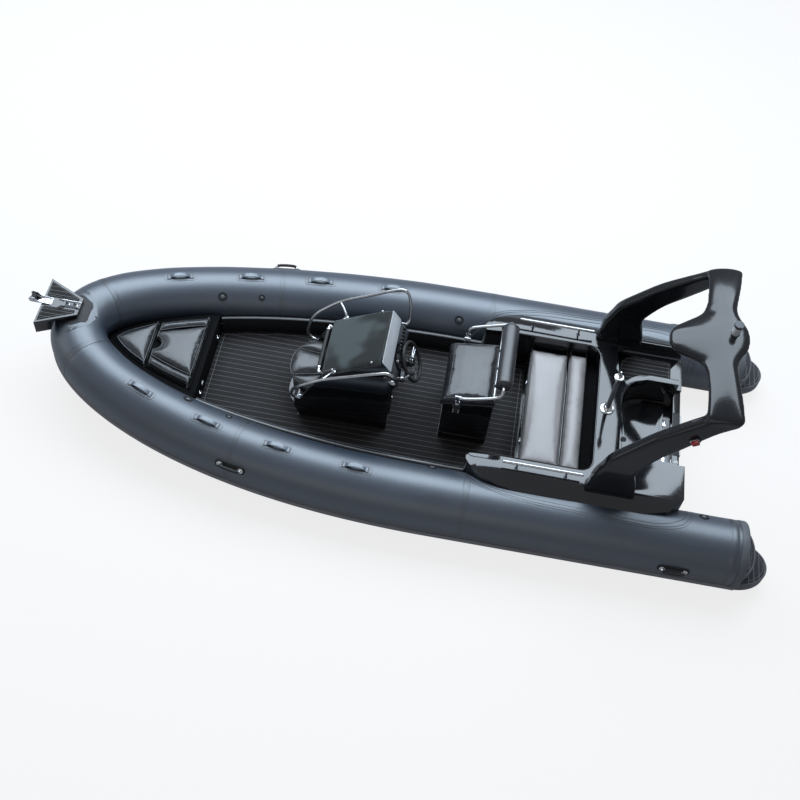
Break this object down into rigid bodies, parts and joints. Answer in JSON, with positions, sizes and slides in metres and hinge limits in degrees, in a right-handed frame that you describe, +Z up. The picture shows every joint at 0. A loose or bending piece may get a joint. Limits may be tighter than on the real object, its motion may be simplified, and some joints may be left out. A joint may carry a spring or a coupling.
{
  "type": "rigid inflatable boat",
  "caption": "Open rigid inflatable boat with centre console, wrap-round rails, seats with cushions, bow locker, stern coaming and light arch.",
  "frame": {"origin": "on the centreline at the waterline, a little aft of midships", "axes": "+X to the bow, +Y to port, +Z up"},
  "size_m": [6.2593, 2.5072, 2.076],
  "materials": {
    "hull": "gloss gelcoat",
    "liner": "gloss gelcoat",
    "mat": "grooved foam deck mat",
    "tube_fabric": "satin coated fabric",
    "strake": "moulded rubber",
    "step": "moulded rubber",
    "black_moulding": "gloss gelcoat",
    "stainless": "polished stainless steel",
    "black_rubber": "moulded rubber",
    "cushion": "matt marine vinyl",
    "screen": "smoked acrylic",
    "black_plastic": "matt black",
    "white_plate": "gloss white",
    "lamp": "white lamp body",
    "handle": "webbing and moulded rubber"
  },
  "bodies": {
    "boat": {"hull": "hull", "deck_liner": "liner", "deck_mat": "mat", "tube_port": "tube_fabric", "tube_starboard": "tube_fabric", "tube_bow": "tube_fabric", "rub_strake": "strake", "stern_step_port": "step", "stern_step_starboard": "step", "bow_step": "black_moulding", "bow_roller_bracket": "stainless", "bow_cleat": "stainless", "towing_eye": "stainless", "bow_locker": "black_moulding", "bow_cushion_forward": "cushion", "console": "black_moulding", "windscreen": "screen", "console_rail_port": "stainless", "console_rail_starboard": "stainless", "grab_bar": "stainless", "steering_column": "black_plastic", "throttle": "black_plastic", "helm_pedestal": "black_moulding", "helm_seat_pan": "black_moulding", "backrest_pivots": "stainless", "helm_cushion": "cushion", "stern_module": "black_moulding", "bench_back_cushion": "cushion", "coaming_rail_port": "stainless", "coaming_rail_starboard": "stainless", "ski_pole": "stainless", "motor_plate": "white_plate", "arch": "black_moulding", "navigation_lights": "black_plastic", "masthead_light": "lamp", "carry_handles": "handle", "grab_handles": "black_rubber", "valves": "black_rubber", "stern_eyes": "stainless"},
    "bow_hatch": {"bow_lid": "black_moulding", "bow_cushion_aft": "cushion"},
    "console_seat": {"console_lid": "black_moulding", "console_cushion": "cushion"},
    "wheel": {"steering_wheel": "black_plastic"},
    "backrest": {"backrest_frame": "stainless", "backrest_roll": "cushion"},
    "bench_seat": {"bench_lid": "black_moulding", "bench_cushion": "cushion"},
    "anchor_roller": {"bow_roller": "black_rubber"}
  },
  "joints": [
    {"name": "bow_hatch_hinge", "type": "hinge", "parent": "boat", "child": "bow_hatch", "pos_m": [1.491, 0, 0.386], "axis": [0, -1, 0], "range_deg": [0, 95]},
    {"name": "console_seat_hinge", "type": "hinge", "parent": "boat", "child": "console_seat", "pos_m": [0.712, 0, 0.452], "axis": [0, 1, 0], "range_deg": [0, 80]},
    {"name": "steering", "type": "hinge", "parent": "boat", "child": "wheel", "pos_m": [-0.275, 0, 0.77], "axis": [-0.8829, 0, 0.4695], "range_deg": [-540, 540]},
    {"name": "backrest_flip", "type": "hinge", "parent": "boat", "child": "backrest", "pos_m": [-0.69, 0, 0.8], "axis": [0, 1, 0], "range_deg": [0, 95]},
    {"name": "bench_hinge", "type": "hinge", "parent": "boat", "child": "bench_seat", "pos_m": [-1.255, 0, 0.389], "axis": [0, 1, 0], "range_deg": [0, 88]},
    {"name": "roller_spin", "type": "hinge", "parent": "boat", "child": "anchor_roller", "pos_m": [2.862, 0, 0.775], "axis": [0, 1, 0], "continuous": true}
  ]
}
